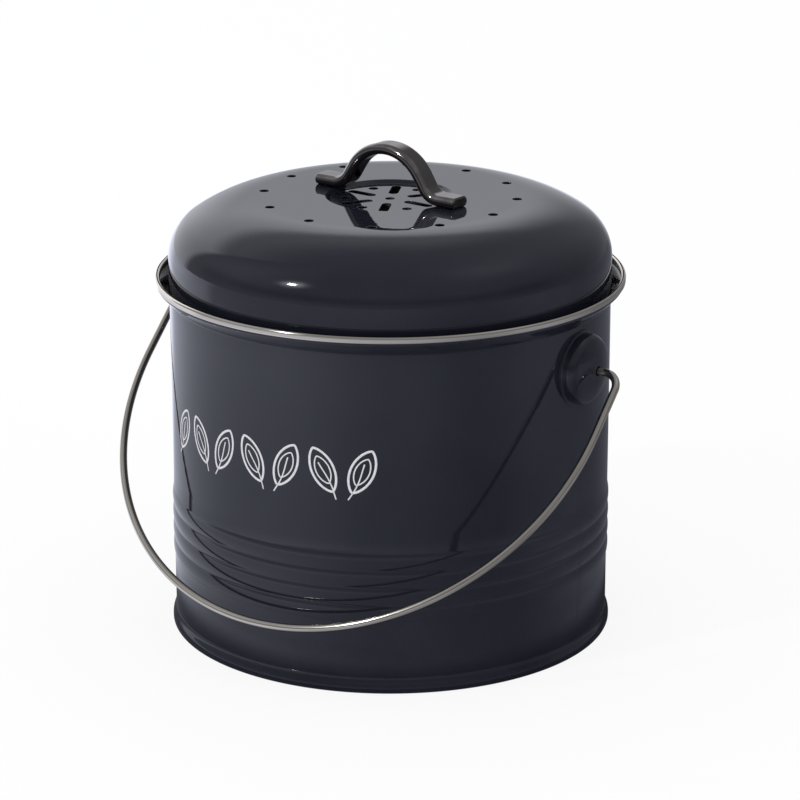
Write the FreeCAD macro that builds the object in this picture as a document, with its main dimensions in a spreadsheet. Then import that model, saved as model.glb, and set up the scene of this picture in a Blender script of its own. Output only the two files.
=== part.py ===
import FreeCAD, Part
import math
import os
from types import SimpleNamespace

import Sketcher
from FreeCAD import Placement, Rotation, Vector

# Compost bin: a sheet-steel pail with a bail, and a vented lid that carries a charcoal filter.
# Millimetres and degrees. +Z is up, the ears lie on the X axis and the front faces -Y.
# The origin is the centre of the ring that the bin stands on.

driving_sizes = {
    # Pail wall
    "wall_radius": 90.0,
    "wall_sheet": 0.6,
    "rim_height": 147.0,
    "shelf_bend": 1.0,
    "shelf_slope": 60.0,
    "shelf_reach": 3.0,
    "mouth_bend": 3.0,
    "mouth_slope": 30.0,
    "mouth_reach": 5.2,
    "rib_foot": 29.6,
    "rib_pitch": 7.2,
    "rib_rise": 0.5,
    "seam_width": 6.0,
    "seam_fold": 1.2,
    # Bare steel band over the lip
    "band_width": 2.0,
    "band_height": 2.6,
    # Base with its hem round the foot of the wall
    "base_sheet": 0.6,
    "base_lift": 4.0,
    "base_corner": 1.5,
    "hem_height": 5.5,
    "hem_flare": 0.75,
    # Gap between sheets that are folded or welded together
    "sheet_gap": 0.05,
    # Ears and bail
    "ear_drop": 25.5,
    "ear_radius": 14.5,
    "ear_rise": 8.0,
    "ear_shoulder": 4.5,
    "ear_skirt": 1.5,
    "ear_flange": 1.2,
    "ear_sheet": 0.8,
    "wire_radius": 1.6,
    "wire_play": 0.3,
    "bail_stand_off": 18.0,
    "bail_leg": 28.6,
    "bail_bend": 7.0,
    "bail_hook": 2.0,
    "bail_tilt": 46.4,
    # Lid
    "lid_overlap": 0.2,
    "lid_sheet": 0.6,
    "lid_hem": 3.0,
    "lid_seat_gap": 0.3,
    "lid_rise": 32.8,
    "lid_turn": -5.0,
    "shoulder_reach": 38.2,
    "shoulder_drop": 24.0,
    "shoulder_radius": 18.0,
    "recess_radius": 26.0,
    "recess_slope": 1.5,
    "recess_depth": 1.5,
    # Vents
    "vent_radius": 1.9,
    "slot_start": 7.8,
    "slot_end": 21.0,
    "inner_vent_circle": 18.0,
    "outer_vent_inset": 0.3,
    # Handle
    "foot_margin": 4.9,
    "handle_width": 10.0,
    "handle_thickness": 4.5,
    "handle_edge": 1.9,
    "handle_end_edge": 0.8,
    "handle_rise": 21.8,
    "handle_crown": 22.0,
    "handle_slope": 58.0,
    "handle_fillet": 6.0,
    # Screws through the lid into the handle's feet
    "boss_margin": 0.2,
    "screw_radius": 2.0,
    "screw_depth": 3.0,
    "screw_play": 0.3,
    "thread_gap": 0.05,
    "screw_head_radius": 3.6,
    "screw_head_height": 2.0,
    "washer_radius": 4.5,
    "washer_thickness": 0.8,
    # Filter frame, its twist-off holder and the charcoal disc
    "recess_gap": 0.5,
    "shoulder_gap": 1.25,
    "boss_radius": 4.0,
    "bar_width": 12.0,
    "bar_thickness": 2.0,
    "ring_drop": 1.1,
    "ring_wall": 2.0,
    "disc_radius": 61.2,
    "disc_thickness": 8.0,
    "disc_edge": 1.0,
    "disc_play": 0.3,
    "disc_gap": 0.8,
    "holder_wall": 1.8,
    "holder_floor": 2.0,
    "holder_margin": 1.0,
    "holder_hub": 10.0,
    "holder_ring": 33.0,
    "holder_bar": 3.5,
    "holder_land": 5.0,
    "lug_reach": 2.4,
    "lug_width": 14.0,
    "lug_thickness": 2.0,
    "twist_play": 0.4,
}
rib_count = 4
band_sections = 8
slot_count = 6
outer_vent_count = 12
lug_count = 3
spoke_count = 4

doc = FreeCAD.newDocument("compost_bin")
sheet = doc.addObject("Spreadsheet::Sheet", "Sizes")
for row, (size_name, size_value) in enumerate(driving_sizes.items(), 1):
    sheet.set(f"A{row}", size_name)
    sheet.set(f"B{row}", str(size_value))
    sheet.setAlias(f"B{row}", size_name)
doc.recompute()


class Size:
    """A size that carries its number and the expression that ties it to the sheet."""

    def __init__(self, value, text):
        self.value = value
        self.text = text

    def __add__(self, other):
        other = as_size(other)
        return Size(self.value + other.value, f"({self.text} + {other.text})")

    def __sub__(self, other):
        other = as_size(other)
        return Size(self.value - other.value, f"({self.text} - {other.text})")

    def __mul__(self, other):
        other = as_size(other)
        return Size(self.value * other.value, f"({self.text} * {other.text})")

    def __truediv__(self, other):
        other = as_size(other)
        return Size(self.value / other.value, f"({self.text} / {other.text})")

    def __rsub__(self, other):
        return as_size(other) - self

    def __neg__(self):
        return as_size(0) - self

    __radd__ = __add__
    __rmul__ = __mul__


def as_size(value):
    return value if isinstance(value, Size) else Size(float(value), repr(float(value)))


def root(size):
    return Size(math.sqrt(size.value), f"sqrt({size.text})")


def sine(angle):
    return Size(math.sin(math.radians(angle.value)), f"sin({angle.text})")


def cosine(angle):
    return Size(math.cos(math.radians(angle.value)), f"cos({angle.text})")


def larger(first, second):
    first, second = as_size(first), as_size(second)
    return Size(max(first.value, second.value), f"max({first.text}; {second.text})")


def leg(long_side, short_side):
    """Third side of a right triangle."""
    return root(long_side * long_side - short_side * short_side)


s = SimpleNamespace(**{name: Size(sheet.get(name), f"Sizes.{name}") for name in driving_sizes})


# Sketch helpers

def new_body(label, height=0, turn=0, axis=Vector(0, 0, 1)):
    """A body placed at a height and turned about an axis, both tied to the sheet."""
    body = doc.addObject("PartDesign::Body", label)
    body.Label = label
    height, turn = as_size(height), as_size(turn)
    body.Placement = Placement(Vector(0, 0, height.value), Rotation(axis, turn.value))
    if height.value:
        body.setExpression("Placement.Base.z", height.text)
    if turn.value:
        body.setExpression("Placement.Rotation.Angle", turn.text)
    return body


def new_sketch(body, name, plane, offset=0):
    """A sketch on one of the body's own planes, moved along the plane's normal."""
    sketch = body.newObject("Sketcher::SketchObject", f"{body.Name}_{name}")
    origin_plane = next(f for f in body.Origin.OriginFeatures if f.Role == plane)
    sketch.AttachmentSupport = [(origin_plane, "")]
    sketch.MapMode = "FlatFace"
    offset = as_size(offset)
    if offset.value:
        sketch.AttachmentOffset = Placement(Vector(0, 0, offset.value), Rotation())
        sketch.setExpression("AttachmentOffset.Base.z", offset.text)
    return sketch


def tie(sketch, kind, size, *ends):
    """Add a dimension and bind it to the sheet."""
    index = sketch.addConstraint(Sketcher.Constraint(kind, *ends, size.value))
    sketch.setExpression(f"Constraints[{index}]", size.text)


def pin_point(sketch, geometry, end, x, y):
    """Hold one end of a line, arc or circle at x, y from the sketch's origin."""
    for kind, size, axis in (("DistanceX", as_size(x), -2), ("DistanceY", as_size(y), -1)):
        if abs(size.value) < 1e-9:
            sketch.addConstraint(Sketcher.Constraint("PointOnObject", geometry, end, axis))
        else:
            tie(sketch, kind, size, -1, 1, geometry, end)


def arc_between(start, end, radius, side):
    """Arc under a half turn from start to end; side 1 bulges to the right of the way, -1 to the left."""
    chord = end - start
    normal = Vector(chord.y, -chord.x, 0).normalize() * side
    rise = radius - math.sqrt(max(radius**2 - (chord.Length / 2) ** 2, 0))
    return Part.Arc(start, (start + end) * 0.5 + normal * rise, end)


def draw(sketch, corners, closed=True):
    """Lines and arcs through corners (x, y) or (x, y, radius, side), with the arc on to the next corner."""
    corners = [tuple(as_size(c) for c in corner[:3]) + tuple(corner[3:]) for corner in corners]
    points = [Vector(corner[0].value, corner[1].value, 0) for corner in corners]
    count = len(corners) if closed else len(corners) - 1
    edges = []
    for i in range(count):
        start, end = points[i], points[(i + 1) % len(points)]
        if len(corners[i]) == 4:
            shape = arc_between(start, end, corners[i][2].value, corners[i][3])
        else:
            shape = Part.LineSegment(start, end)
        edges.append(sketch.addGeometry(shape, False))
    # An arc is stored counter-clockwise, so its ends are matched to the corners by place.
    ends = []
    for i, edge in enumerate(edges):
        begins = (sketch.getPoint(edge, 1) - points[i]).Length < 1e-6
        ends.append((1, 2) if begins else (2, 1))
    for i in range(count):
        following = (i + 1) % len(edges)
        if closed or i + 1 < count:
            sketch.addConstraint(
                Sketcher.Constraint("Coincident", edges[i], ends[i][1], edges[following], ends[following][0])
            )
        pin_point(sketch, edges[i], ends[i][0], corners[i][0], corners[i][1])
        if len(corners[i]) == 4:
            tie(sketch, "Radius", corners[i][2], edges[i])
    if not closed:
        pin_point(sketch, edges[-1], ends[-1][1], corners[-1][0], corners[-1][1])
    return sketch


def circle(sketch, radius, x=0, y=0):
    radius, x, y = as_size(radius), as_size(x), as_size(y)
    shape = Part.Circle(Vector(x.value, y.value, 0), Vector(0, 0, 1), radius.value)
    geometry = sketch.addGeometry(shape, False)
    pin_point(sketch, geometry, 3, x, y)
    tie(sketch, "Radius", radius, geometry)
    return sketch


def rectangle(sketch, x_low, y_low, x_high, y_high):
    return draw(sketch, [(x_low, y_low), (x_high, y_low), (x_high, y_high), (x_low, y_high)])


# Feature helpers

def revolve(body, sketch, axis="V_Axis", kind="Revolution", angle=360):
    feature = body.newObject(f"PartDesign::{kind}", f"{sketch.Name}_{kind.lower()}")
    feature.Profile = sketch
    feature.ReferenceAxis = (sketch, [axis])
    feature.Angle = angle
    doc.recompute()
    return feature


def pad(body, sketch, length):
    feature = body.newObject("PartDesign::Pad", f"{sketch.Name}_pad")
    feature.Profile = sketch
    feature.Length = as_size(length).value
    feature.setExpression("Length", as_size(length).text)
    doc.recompute()
    return feature


def cut(body, sketch, length=None, reverse=False):
    """Pocket of a given depth, or right through both ways; it has to take something away."""
    before = body.Shape.Volume
    feature = body.newObject("PartDesign::Pocket", f"{sketch.Name}_cut")
    feature.Profile = sketch
    feature.Reversed = reverse
    if length is None:
        feature.Type = "ThroughAll"
        feature.Midplane = True
    else:
        feature.Length = as_size(length).value
        feature.setExpression("Length", as_size(length).text)
    doc.recompute()
    if body.Shape.Volume >= before - 1e-6:
        raise RuntimeError(f"{feature.Name} cuts nothing")
    return feature


def polar(body, feature, count, angle=360, axis="N_Axis"):
    pattern = body.newObject("PartDesign::PolarPattern", f"{feature.Name}_pattern")
    pattern.Originals = [feature]
    pattern.Axis = (feature.Profile[0], [axis])
    pattern.Angle = angle
    pattern.Occurrences = count
    body.Tip = pattern
    doc.recompute()
    return pattern


def sweep(body, profile, path):
    feature = body.newObject("PartDesign::AdditivePipe", f"{body.Name}_sweep")
    feature.Profile = profile
    feature.Spine = (path, [])
    doc.recompute()
    return feature


def round_ends(body, strap, end, radius):
    """Round the edges of the two faces that stand across the strap's ends."""
    edges = [
        f"Edge{i}"
        for i, edge in enumerate(strap.Shape.Edges, 1)
        if all(abs(abs(vertex.X) - end.value) < 1e-6 for vertex in edge.Vertexes)
    ]
    feature = body.newObject("PartDesign::Fillet", f"{strap.Name}_ends")
    feature.Base = (strap, edges)
    feature.Radius = radius.value
    feature.setExpression("Radius", radius.text)
    doc.recompute()
    return feature


def crown(reach, drop, small_radius):
    """Two tangent arcs from level to upright: the large radius, and sine and cosine of where they meet."""
    large = (reach * reach + drop * drop - 2 * reach * small_radius) / (2 * (drop - small_radius))
    span = large - small_radius
    return large, (reach - small_radius) / span, (large - drop) / span


# Places that several pieces share
wall_inside = s.wall_radius - s.wall_sheet
plateau_height = s.rim_height + s.lid_rise
ear_height = s.rim_height - s.ear_drop
lid_radius = s.wall_radius + s.lid_overlap
plateau_radius = lid_radius - s.shoulder_reach
shoulder_large, shoulder_sine, shoulder_cosine = crown(s.shoulder_reach, s.shoulder_drop, s.shoulder_radius)
screw_reach = s.recess_radius + s.lid_sheet / 2 + s.boss_margin + s.boss_radius

# Mouth of the wall, worked out from the band down: the lip stands in the band, on a cone that a bend joins to
# a sloping shelf, and another bend joins the shelf to the wall. Slopes are from upright.
shelf_sine, shelf_cosine = sine(s.shelf_slope), cosine(s.shelf_slope)
mouth_sine, mouth_cosine = sine(s.mouth_slope), cosine(s.mouth_slope)
half_slope_tangent = mouth_sine / (1 + mouth_cosine)
band_bottom = s.rim_height - s.band_height / 2
lip_top = band_bottom + s.band_height - s.band_width / 2
lip_foot = band_bottom - s.sheet_gap - s.wall_sheet * half_slope_tangent
lip_radius = s.wall_radius + s.mouth_reach
cone_foot = lip_foot - (s.mouth_reach - s.shelf_reach) * mouth_cosine / mouth_sine
bend_centre = s.wall_radius + s.shelf_reach - s.mouth_bend * mouth_cosine
bend_height = cone_foot + s.mouth_bend * mouth_sine
shelf_centre = s.wall_radius + s.shelf_bend
shelf_run = bend_centre - shelf_centre + (s.mouth_bend + s.shelf_bend) * shelf_cosine
shelf_rise = shelf_run * shelf_cosine / shelf_sine + (s.mouth_bend + s.shelf_bend) * shelf_sine
shelf_height = bend_height - shelf_rise


# Pail

def rib_run(radius):
    """Ribs of the wall going up: equal arcs that swing in and out about half the rib's rise."""
    middle = radius + s.rib_rise / 2
    half = s.rib_pitch / 2
    quarter = half / 2
    sag = s.rib_rise / 2
    bend = (quarter * quarter + sag * sag) / (2 * sag)
    swings = 2 * rib_count
    corners = [(radius, s.rib_foot, bend, -1)]
    for i in range(swings):
        corners.append((middle, s.rib_foot + quarter + half * i, bend, 1 if i % 2 == 0 else -1))
    corners.append((radius, s.rib_foot + half * swings))
    return corners


def mouth_run(depth):
    """Mouth of the wall going up, at a depth in the sheet from its outer face."""
    shelf, bend = s.shelf_bend + depth, s.mouth_bend - depth
    return [
        (s.wall_radius - depth, shelf_height, shelf, -1),
        (shelf_centre - shelf * shelf_cosine, shelf_height + shelf * shelf_sine),
        (bend_centre + bend * shelf_cosine, bend_height - bend * shelf_sine, bend, 1),
        (bend_centre + bend * mouth_cosine, bend_height - bend * mouth_sine),
        (lip_radius - depth, lip_foot + depth * half_slope_tangent),
        (lip_radius - depth, lip_top),
    ]


def make_wall():
    body = new_body("body_wall")
    foot = s.base_sheet + s.sheet_gap
    outside = [(s.wall_radius, foot)] + rib_run(s.wall_radius) + mouth_run(as_size(0))
    inside = turned(mouth_run(s.wall_sheet)) + turned(rib_run(wall_inside)) + [(wall_inside, foot)]
    revolve(body, draw(new_sketch(body, "profile", "XZ_Plane"), outside + inside))
    # Lock seam: the folded edges of the sheet lie inside, under the right ear.
    half = s.seam_width / 2
    deep = wall_inside - s.seam_fold
    held = s.wall_radius - s.wall_sheet / 2
    seam = [
        (leg(deep, half), -half),
        (leg(held, half), -half, held, 1),
        (leg(held, half), half),
        (leg(deep, half), half, deep, -1),
    ]
    low = s.base_lift + s.base_sheet + s.base_corner
    pad(body, draw(new_sketch(body, "seam", "XY_Plane", low), seam), shelf_height - low)
    return body


def turned(corners):
    """The same run of corners travelled the other way, so each arc belongs to its other end."""
    back = [corner[:2] for corner in reversed(corners)]
    arcs = [(corner[2], -corner[3]) if len(corner) == 4 else () for corner in reversed(corners[:-1])]
    return [corner + arc for corner, arc in zip(back, arcs)] + back[-1:]


def make_base():
    body = new_body("base_pan")
    skirt = wall_inside - s.sheet_gap
    hem = s.wall_radius + s.sheet_gap
    foot = hem + s.hem_flare
    floor_top = s.base_lift + s.base_sheet
    inner_corner = s.base_corner - s.base_sheet
    profile = [
        (0, s.base_lift),
        (skirt - s.base_corner, s.base_lift, inner_corner, -1),
        (skirt - s.base_sheet, s.base_lift - inner_corner),
        (skirt - s.base_sheet, 0),
        (foot, 0, s.base_sheet, 1),
        (foot + s.base_sheet, s.base_sheet),
        (hem + s.base_sheet, s.hem_height - s.base_sheet, s.base_sheet, 1),
        (hem, s.hem_height),
        (foot, s.base_sheet),
        (skirt, s.base_sheet),
        (skirt, floor_top - s.base_corner, s.base_corner, 1),
        (skirt - s.base_corner, floor_top),
        (0, floor_top),
    ]
    revolve(body, draw(new_sketch(body, "profile", "XZ_Plane"), profile))
    return body


def make_band():
    """Trim pressed over the lip, in equal sections: a U with a round back and round ends."""
    body = new_body("rim_band")
    middle = lip_radius - s.wall_sheet / 2
    half = s.band_width / 2
    slot = s.wall_sheet / 2 + s.sheet_gap
    slot_top = lip_top + s.sheet_gap
    edge = (half - slot) / 2
    low = band_bottom + edge
    profile = [
        (middle - half, low, edge, 1),
        (middle - half + edge, band_bottom, edge, 1),
        (middle - slot, low),
        (middle - slot, slot_top),
        (middle + slot, slot_top),
        (middle + slot, low, edge, 1),
        (middle + slot + edge, band_bottom, edge, 1),
        (middle + half, low),
        (middle + half, lip_top, half, 1),
        (middle, lip_top + half, half, 1),
        (middle - half, lip_top),
    ]
    section = revolve(body, draw(new_sketch(body, "profile", "XZ_Plane"), profile), angle=360 / band_sections)
    polar(body, section, band_sections, axis="V_Axis").Refine = False
    return body


def ear_profile(start, tip, radius, shoulder, drop):
    """Domed cup about its own axis, closed along the axis."""
    large, sin_meet, cos_meet = crown(radius, drop, shoulder)
    return [
        (start, 0),
        (start, radius),
        (tip - drop, radius, shoulder, -1),
        (tip - large + large * cos_meet, large * sin_meet, large, -1),
        (tip, 0),
    ]


def make_ear(label, turn):
    body = new_body(label, ear_height, turn)
    seat = s.wall_radius + s.sheet_gap
    reach = s.ear_radius + s.ear_flange
    tip = s.wall_radius + s.ear_rise
    drop = s.ear_rise - s.ear_skirt
    start = s.wall_radius - s.ear_rise
    # Flange: a round plate bent to the wall
    plate = circle(new_sketch(body, "plate", "YZ_Plane", start), reach)
    pad(body, plate, 2 * s.ear_rise)
    outside = circle(circle(new_sketch(body, "bend", "XY_Plane"), seat + s.ear_sheet), 2 * s.wall_radius)
    cut(body, outside)
    # Cup, then its hollow
    cup = ear_profile(start, tip, s.ear_radius, s.ear_shoulder, drop)
    revolve(body, draw(new_sketch(body, "cup", "XZ_Plane"), cup), "H_Axis")
    hollow = ear_profile(
        start - s.ear_sheet,
        tip - s.ear_sheet,
        s.ear_radius - s.ear_sheet,
        s.ear_shoulder - s.ear_sheet,
        drop - s.ear_sheet,
    )
    revolve(body, draw(new_sketch(body, "hollow", "XZ_Plane"), hollow), "H_Axis", "Groove")
    # The side that lies on the wall, and the hole for the wire
    cut(body, circle(new_sketch(body, "seat", "XY_Plane"), seat))
    hole = circle(new_sketch(body, "hole", "YZ_Plane", tip + s.ear_sheet), s.wire_radius + s.wire_play)
    cut(body, hole, s.ear_rise)
    return body


def make_bail():
    """Carrying wire, drawn hanging straight down about its pivot and then tilted to the front."""
    body = new_body("bail_wire", ear_height, -s.bail_tilt, Vector(1, 0, 0))
    side = s.wall_radius + s.bail_stand_off
    bend = s.bail_bend
    hook_bend = 1.5 * s.wire_radius
    hook_side = s.wall_radius + s.ear_rise / 2 - s.wire_radius / 2
    hook_tip = hook_bend + s.bail_hook
    path = [
        (-hook_side, hook_tip),
        (-hook_side, hook_bend, hook_bend, -1),
        (-hook_side - hook_bend, 0),
        (-side + bend, 0, bend, 1),
        (-side, -bend),
        (-side, -s.bail_leg, side, 1),
        (0, -s.bail_leg - side, side, 1),
        (side, -s.bail_leg),
        (side, -bend, bend, 1),
        (side - bend, 0),
        (hook_side + hook_bend, 0, hook_bend, -1),
        (hook_side, hook_bend),
        (hook_side, hook_tip),
    ]
    spine = draw(new_sketch(body, "path", "XZ_Plane"), path, closed=False)
    end = circle(new_sketch(body, "section", "XY_Plane", hook_tip), s.wire_radius, -hook_side)
    sweep(body, end, spine)
    return body


# Lid

def make_lid():
    body = new_body("lid_shell", 0, s.lid_turn)
    top = plateau_height
    skin = s.lid_sheet
    floor = top - s.recess_depth
    side_top = top - s.shoulder_drop
    # The hem's round edge clears the bend under the shelf by the seat gap.
    stand_off = s.shelf_bend + s.wall_sheet + skin + s.lid_seat_gap
    hem = shelf_height + leg(stand_off, shelf_centre - lid_radius + skin)

    def shoulder(inset):
        radius = shoulder_large - inset
        meet = (plateau_radius + radius * shoulder_sine, top - shoulder_large + radius * shoulder_cosine)
        return radius, s.shoulder_radius - inset, meet

    outer_large, outer_small, outer_meet = shoulder(0)
    inner_large, inner_small, inner_meet = shoulder(skin)
    recess_foot = s.recess_radius - s.recess_slope
    profile = [
        (0, floor - skin),
        (recess_foot + skin / 2, floor - skin),
        (s.recess_radius + skin / 2, top - skin),
        (plateau_radius, top - skin, inner_large, -1),
        inner_meet + (inner_small, -1),
        (lid_radius - skin, side_top),
        (lid_radius - skin, hem + s.lid_hem),
        (lid_radius - 2 * skin, hem + s.lid_hem),
        (lid_radius - 2 * skin, hem, skin, 1),
        (lid_radius - skin, hem - skin, skin, 1),
        (lid_radius, hem),
        (lid_radius, side_top, outer_small, 1),
        outer_meet + (outer_large, 1),
        (plateau_radius, top),
        (s.recess_radius, top),
        (recess_foot, floor),
        (0, floor),
    ]
    revolve(body, draw(new_sketch(body, "profile", "XZ_Plane"), profile))
    vent = s.vent_radius
    cut(body, circle(new_sketch(body, "centre_vent", "XY_Plane", top), vent))
    slot = [
        (s.slot_start + vent, -vent),
        (s.slot_end - vent, -vent, vent, 1),
        (s.slot_end, 0, vent, 1),
        (s.slot_end - vent, vent),
        (s.slot_start + vent, vent, vent, 1),
        (s.slot_start, 0, vent, 1),
    ]
    polar(body, cut(body, draw(new_sketch(body, "slot", "XY_Plane", top), slot)), slot_count)
    step = as_size(180 / slot_count)
    between = new_sketch(body, "inner_vent", "XY_Plane", top)
    circle(between, vent, s.inner_vent_circle * cosine(step), s.inner_vent_circle * sine(step))
    polar(body, cut(body, between), slot_count)
    ring = circle(new_sketch(body, "outer_vent", "XY_Plane", top), vent, plateau_radius - s.outer_vent_inset)
    polar(body, cut(body, ring), outer_vent_count)
    screw_hole = new_sketch(body, "screw_hole", "XY_Plane", top)
    circle(screw_hole, s.screw_radius + s.screw_play, screw_reach)
    polar(body, cut(body, screw_hole), 2)
    return body


def make_handle():
    """Strap bent to a bow: foot, concave bend, sloping leg, crown, and back down."""
    body = new_body("lid_handle", plateau_height, s.lid_turn)
    half = s.handle_thickness / 2
    slope_sine, slope_cosine = sine(s.handle_slope), cosine(s.handle_slope)
    crown_line = s.handle_crown - half
    fillet_line = s.handle_fillet + half
    crown_centre = s.handle_rise - s.handle_crown
    leg_top = (crown_line * slope_sine, crown_centre + crown_line * slope_cosine)
    leg_foot_height = half + fillet_line - fillet_line * slope_cosine
    leg_run = (leg_top[1] - leg_foot_height) * slope_cosine / slope_sine
    leg_foot = (leg_top[0] + leg_run, leg_foot_height)
    foot_start = leg_foot[0] + fillet_line * slope_sine
    end = screw_reach + s.foot_margin
    path = [
        (-end, half),
        (-foot_start, half, fillet_line, 1),
        (-leg_foot[0], leg_foot[1]),
        (-leg_top[0], leg_top[1], crown_line, -1),
        (leg_top[0], leg_top[1]),
        (leg_foot[0], leg_foot[1], fillet_line, 1),
        (foot_start, half),
        (end, half),
    ]
    spine = draw(new_sketch(body, "path", "XZ_Plane"), path, closed=False)
    side = s.handle_width / 2
    edge = s.handle_edge
    high = s.handle_thickness
    section = [
        (edge - side, 0),
        (side - edge, 0, edge, 1),
        (side, edge),
        (side, high - edge, edge, 1),
        (side - edge, high),
        (edge - side, high, edge, 1),
        (-side, high - edge),
        (-side, edge, edge, 1),
    ]
    strap = sweep(body, draw(new_sketch(body, "section", "YZ_Plane", -end), section), spine)
    round_ends(body, strap, end, s.handle_end_edge)
    tapped_hole = new_sketch(body, "tapped_hole", "XY_Plane")
    circle(tapped_hole, s.screw_radius + s.thread_gap, screw_reach)
    polar(body, cut(body, tapped_hole, s.screw_depth + s.screw_play, reverse=True), 2)
    return body


# Filter under the lid. Radii go out from the disc. Heights go down from the bar, which clears the recess,
# and sits low enough for the ring at its ends to clear the lid's shoulder.
holder_inside = s.disc_radius + s.disc_play
holder_outside = holder_inside + s.holder_wall
lug_radius = holder_outside + s.lug_reach
ring_inside = lug_radius + s.twist_play
ring_outside = ring_inside + s.ring_wall
beyond_plateau = larger(ring_outside - plateau_radius, 0)
shoulder_sag = shoulder_large - leg(shoulder_large - s.lid_sheet, beyond_plateau)
under_shoulder = shoulder_sag + s.shoulder_gap - s.ring_drop
under_recess = s.recess_depth + s.lid_sheet + s.recess_gap
bar_top = plateau_height - larger(under_shoulder, under_recess)
ring_top = bar_top - s.ring_drop
bar_bottom = bar_top - s.bar_thickness
head_top = bar_bottom - s.washer_thickness
disc_top = head_top - s.screw_head_height - s.disc_gap
floor_top = disc_top - s.disc_thickness
floor_bottom = floor_top - s.holder_floor
holder_top = disc_top + s.holder_margin
lug_bottom = holder_top - s.lug_thickness
hook_top = lug_bottom - s.twist_play


def make_screw(label, side):
    body = new_body(label, 0, s.lid_turn)
    head_bottom = head_top - s.screw_head_height
    tip = plateau_height + s.screw_depth
    edge = s.screw_head_height / 2
    profile = [
        (0, head_bottom),
        (s.screw_head_radius - edge, head_bottom, edge, 1),
        (s.screw_head_radius, head_bottom + edge),
        (s.screw_head_radius, head_top),
        (s.screw_radius, head_top),
        (s.screw_radius, tip),
        (0, tip),
    ]
    sketch = new_sketch(body, "profile", "XZ_Plane")
    shift_along(sketch, side * screw_reach)
    revolve(body, draw(sketch, profile))
    return body


def shift_along(sketch, distance):
    """Move an upright sketch sideways, so that it turns about its own axis."""
    sketch.AttachmentOffset = Placement(Vector(distance.value, 0, 0), Rotation())
    sketch.setExpression("AttachmentOffset.Base.x", distance.text)


def make_washer(label, side):
    body = new_body(label, 0, s.lid_turn)
    sketch = new_sketch(body, "ring", "XY_Plane", head_top)
    circle(sketch, s.washer_radius, side * screw_reach)
    circle(sketch, s.screw_radius + s.thread_gap, side * screw_reach)
    pad(body, sketch, s.washer_thickness)
    return body


def lug_outline(inner, outer, half_width):
    """A lug on a round wall, with its outer edge round too."""
    return [
        (inner, -half_width),
        (leg(outer, half_width), -half_width, outer, 1),
        (leg(outer, half_width), half_width),
        (inner, half_width),
    ]


def make_frame():
    body = new_body("filter_frame", 0, s.lid_turn)
    hook_bottom = hook_top - s.lug_thickness
    ring = circle(new_sketch(body, "ring", "XY_Plane", hook_bottom), ring_outside)
    pad(body, circle(ring, ring_inside), ring_top - hook_bottom)
    end = ring_inside + s.ring_wall / 2
    side = s.bar_width / 2
    bar = rectangle(new_sketch(body, "bar", "XY_Plane", bar_bottom), -end, -side, end, side)
    pad(body, bar, s.bar_thickness)
    boss = circle(new_sketch(body, "boss", "XY_Plane", bar_top), s.boss_radius, screw_reach)
    polar(body, pad(body, boss, plateau_height - s.lid_sheet - bar_top), 2)
    # Hooks that the holder's lugs turn onto
    outline = lug_outline(holder_outside + s.twist_play, end, s.lug_width / 2)
    hook = draw(new_sketch(body, "hook", "XY_Plane", hook_bottom), outline)
    polar(body, pad(body, hook, s.lug_thickness), lug_count)
    screw_hole = new_sketch(body, "screw_hole", "XY_Plane", bar_top)
    circle(screw_hole, s.screw_radius + s.screw_play, screw_reach)
    polar(body, cut(body, screw_hole), 2)
    return body


def make_holder():
    """Dish with an open floor of rings and spokes, and lugs at its top edge."""
    body = new_body("filter_holder", 0, s.lid_turn)
    half_bar = s.holder_bar / 2
    wall = circle(new_sketch(body, "wall", "XY_Plane", floor_bottom), holder_outside)
    pad(body, circle(wall, holder_inside), holder_top - floor_bottom)
    floor = new_sketch(body, "floor", "XY_Plane", floor_bottom)
    for radius in (
        s.holder_hub,
        s.holder_ring - half_bar,
        s.holder_ring + half_bar,
        holder_inside - s.holder_land,
        holder_inside + s.holder_wall / 2,
    ):
        circle(floor, radius)
    pad(body, floor, s.holder_floor)
    spoke = rectangle(
        new_sketch(body, "spoke", "XY_Plane", floor_bottom),
        -holder_inside,
        -half_bar,
        holder_inside,
        half_bar,
    )
    polar(body, pad(body, spoke, s.holder_floor), spoke_count, 180 - 180 / spoke_count)
    outline = lug_outline(holder_inside + s.holder_wall / 2, lug_radius, s.lug_width / 2)
    lug = draw(new_sketch(body, "lug", "XY_Plane", lug_bottom), outline)
    polar(body, pad(body, lug, s.lug_thickness), lug_count)
    return body


def make_disc():
    body = new_body("filter_disc", 0, s.lid_turn)
    edge = s.disc_edge
    profile = [
        (0, floor_top),
        (s.disc_radius - edge, floor_top, edge, 1),
        (s.disc_radius, floor_top + edge),
        (s.disc_radius, disc_top - edge, edge, 1),
        (s.disc_radius - edge, disc_top),
        (0, disc_top),
    ]
    revolve(body, draw(new_sketch(body, "profile", "XZ_Plane"), profile))
    return body


pieces = [make_wall(), make_base(), make_band()]
pieces += [make_ear("right_ear", 0), make_ear("left_ear", 180), make_bail()]
pieces += [make_lid(), make_handle()]
for side_name, side_sign in (("left", -1), ("right", 1)):
    pieces.append(make_screw(f"handle_screw_{side_name}", side_sign))
    pieces.append(make_washer(f"handle_washer_{side_name}", side_sign))
pieces += [make_frame(), make_holder(), make_disc()]
doc.recompute()

for item in doc.Objects:
    if "Invalid" in item.State or "Error" in item.State:
        raise RuntimeError(f"{item.Name} failed: {item.State}")
for piece in pieces:
    if piece.Shape.isNull() or not piece.Shape.isValid() or len(piece.Shape.Solids) != 1:
        raise RuntimeError(f"{piece.Label} is not one sound solid")

os.makedirs("parts", exist_ok=True)
for piece in pieces:
    piece.Shape.exportStep(f"parts/{piece.Label}.step")
    print(piece.Label, round(piece.Shape.Volume, 1))
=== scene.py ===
from math import pi, radians

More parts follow.
